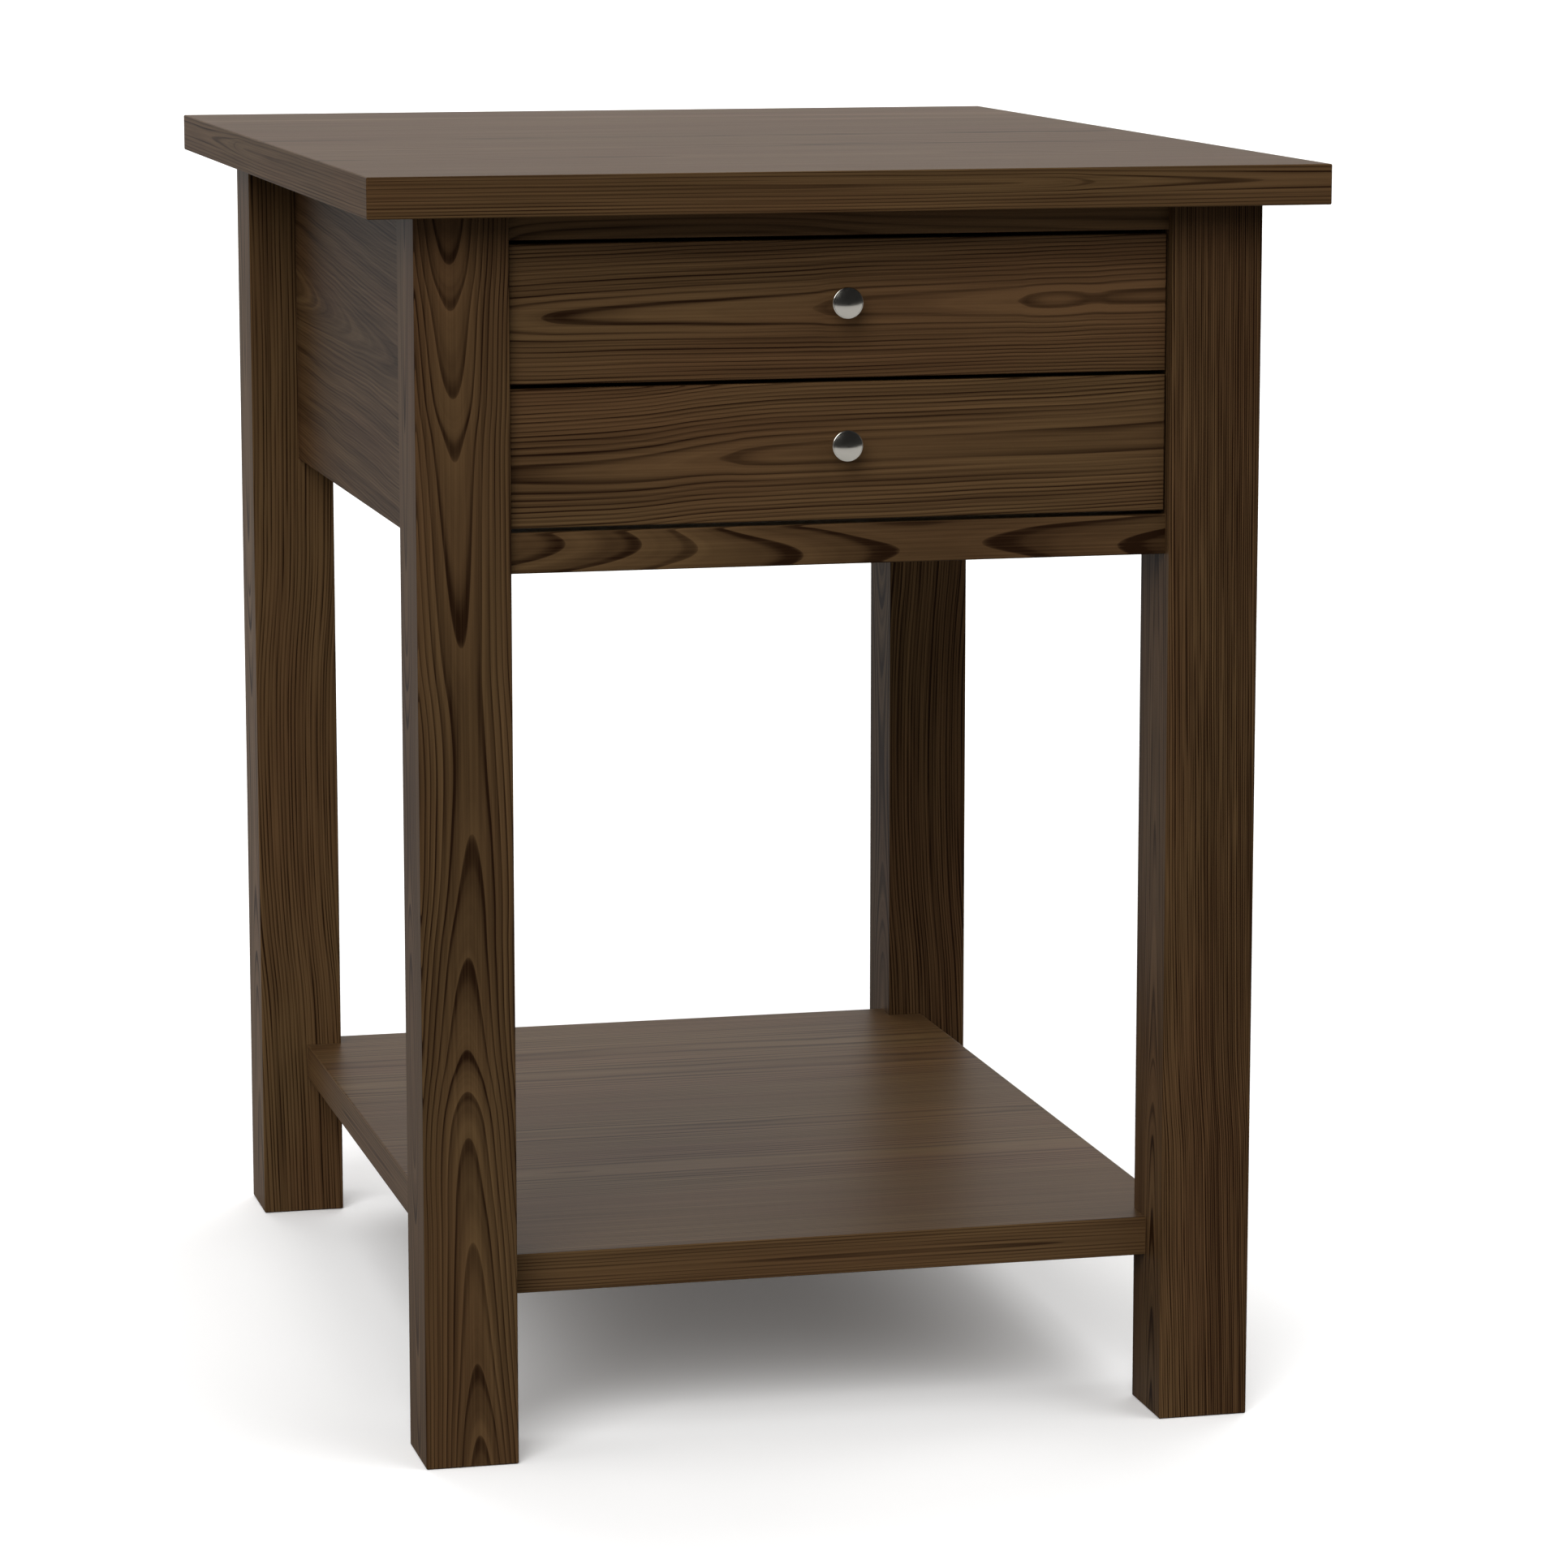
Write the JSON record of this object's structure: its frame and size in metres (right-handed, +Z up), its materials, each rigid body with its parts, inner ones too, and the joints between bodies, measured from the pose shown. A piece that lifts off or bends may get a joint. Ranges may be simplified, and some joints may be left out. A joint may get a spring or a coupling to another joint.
{
  "type": "accent table",
  "caption": "Accent table with a flat top on square legs, drawers on roller slides with round metal knobs, and a lower shelf.",
  "frame": {"origin": "on the floor, at the middle of the table's footprint", "axes": "+Z up, the drawers open towards -Y, +X to the right of someone facing the drawers"},
  "size_m": [0.4572, 0.6096, 0.6096],
  "materials": {
    "stained_wood": "dark walnut stain under satin lacquer",
    "drawer_box_poplar": "clear sealed hardwood",
    "strip_poplar": "bare planed hardwood",
    "drawer_plywood": "clear sealed plywood",
    "dowel_beech": "bare beech",
    "knob_nickel": "satin nickel",
    "slide_steel": "white epoxy coat on sheet steel",
    "pin_steel": "zinc plated",
    "screw_steel": "zinc plated",
    "roller_nylon": "moulded nylon"
  },
  "bodies": {
    "frame": {"table_top": "stained_wood", "lower_shelf": "stained_wood", "leg_front_left": "stained_wood", "leg_front_right": "stained_wood", "leg_back_left": "stained_wood", "leg_back_right": "stained_wood", "side_apron_left": "stained_wood", "side_apron_right": "stained_wood", "back_apron": "stained_wood", "upper_front_rail": "stained_wood", "lower_front_rail": "stained_wood", "top_strip_left": "strip_poplar", "top_strip_right": "strip_poplar", "apron_dowels": "dowel_beech", "rail_dowels": "dowel_beech", "top_screws": "screw_steel", "strip_screws": "screw_steel", "upper_slide_rail_left": "slide_steel", "upper_slide_rail_right": "slide_steel", "lower_slide_rail_left": "slide_steel", "lower_slide_rail_right": "slide_steel", "upper_rail_pins": "pin_steel", "lower_rail_pins": "pin_steel", "slide_rail_screws": "screw_steel"},
    "upper_drawer": {"upper_drawer_front": "stained_wood", "upper_box_front": "drawer_box_poplar", "upper_box_back": "drawer_box_poplar", "upper_box_side_left": "drawer_box_poplar", "upper_box_side_right": "drawer_box_poplar", "upper_drawer_bottom": "drawer_plywood", "upper_knob": "knob_nickel", "upper_knob_screw": "screw_steel", "upper_front_screws": "screw_steel", "upper_slide_runner_left": "slide_steel", "upper_slide_runner_right": "slide_steel", "upper_runner_screws": "screw_steel", "upper_runner_pins": "pin_steel"},
    "lower_drawer": {"lower_drawer_front": "stained_wood", "lower_box_front": "drawer_box_poplar", "lower_box_back": "drawer_box_poplar", "lower_box_side_left": "drawer_box_poplar", "lower_box_side_right": "drawer_box_poplar", "lower_drawer_bottom": "drawer_plywood", "lower_knob": "knob_nickel", "lower_knob_screw": "screw_steel", "lower_front_screws": "screw_steel", "lower_slide_runner_left": "slide_steel", "lower_slide_runner_right": "slide_steel", "lower_runner_screws": "screw_steel", "lower_runner_pins": "pin_steel"},
    "upper_rail_roller_left": {"upper_rail_roller_left": "roller_nylon"},
    "upper_runner_roller_left": {"upper_runner_roller_left": "roller_nylon"},
    "upper_rail_roller_right": {"upper_rail_roller_right": "roller_nylon"},
    "upper_runner_roller_right": {"upper_runner_roller_right": "roller_nylon"},
    "lower_rail_roller_left": {"lower_rail_roller_left": "roller_nylon"},
    "lower_runner_roller_left": {"lower_runner_roller_left": "roller_nylon"},
    "lower_rail_roller_right": {"lower_rail_roller_right": "roller_nylon"},
    "lower_runner_roller_right": {"lower_runner_roller_right": "roller_nylon"}
  },
  "joints": [
    {"name": "upper_drawer_slide", "type": "slide", "parent": "frame", "child": "upper_drawer", "axis": [0, -1, 0], "range_m": [0, 0.33]},
    {"name": "lower_drawer_slide", "type": "slide", "parent": "frame", "child": "lower_drawer", "axis": [0, -1, 0], "range_m": [0, 0.33]},
    {"name": "upper_rail_roller_left_spin", "type": "hinge", "parent": "frame", "child": "upper_rail_roller_left", "pos_m": [-0.15355, -0.24, 0.5269], "axis": [1, 0, 0], "range_deg": [0, 2525]},
    {"name": "upper_runner_roller_left_spin", "type": "hinge", "parent": "upper_drawer", "child": "upper_runner_roller_left", "pos_m": [-0.15325, 0.18995, 0.5254], "axis": [1, 0, 0], "range_deg": [0, 2525]},
    {"name": "upper_rail_roller_right_spin", "type": "hinge", "parent": "frame", "child": "upper_rail_roller_right", "pos_m": [0.15355, -0.24, 0.5269], "axis": [1, 0, 0], "range_deg": [0, 2525]},
    {"name": "upper_runner_roller_right_spin", "type": "hinge", "parent": "upper_drawer", "child": "upper_runner_roller_right", "pos_m": [0.15325, 0.18995, 0.5254], "axis": [1, 0, 0], "range_deg": [0, 2525]},
    {"name": "lower_rail_roller_left_spin", "type": "hinge", "parent": "frame", "child": "lower_rail_roller_left", "pos_m": [-0.15355, -0.24, 0.4604], "axis": [1, 0, 0], "range_deg": [0, 2525]},
    {"name": "lower_runner_roller_left_spin", "type": "hinge", "parent": "lower_drawer", "child": "lower_runner_roller_left", "pos_m": [-0.15325, 0.18995, 0.4589], "axis": [1, 0, 0], "range_deg": [0, 2525]},
    {"name": "lower_rail_roller_right_spin", "type": "hinge", "parent": "frame", "child": "lower_rail_roller_right", "pos_m": [0.15355, -0.24, 0.4604], "axis": [1, 0, 0], "range_deg": [0, 2525]},
    {"name": "lower_runner_roller_right_spin", "type": "hinge", "parent": "lower_drawer", "child": "lower_runner_roller_right", "pos_m": [0.15325, 0.18995, 0.4589], "axis": [1, 0, 0], "range_deg": [0, 2525]}
  ],
  "couplings": [
    {"joint": "upper_rail_roller_left_spin", "follows": "upper_drawer_slide", "rad_per_m": 133.33},
    {"joint": "upper_runner_roller_left_spin", "follows": "upper_drawer_slide", "rad_per_m": 133.33},
    {"joint": "upper_rail_roller_right_spin", "follows": "upper_drawer_slide", "rad_per_m": 133.33},
    {"joint": "upper_runner_roller_right_spin", "follows": "upper_drawer_slide", "rad_per_m": 133.33},
    {"joint": "lower_rail_roller_left_spin", "follows": "lower_drawer_slide", "rad_per_m": 133.33},
    {"joint": "lower_runner_roller_left_spin", "follows": "lower_drawer_slide", "rad_per_m": 133.33},
    {"joint": "lower_rail_roller_right_spin", "follows": "lower_drawer_slide", "rad_per_m": 133.33},
    {"joint": "lower_runner_roller_right_spin", "follows": "lower_drawer_slide", "rad_per_m": 133.33}
  ]
}
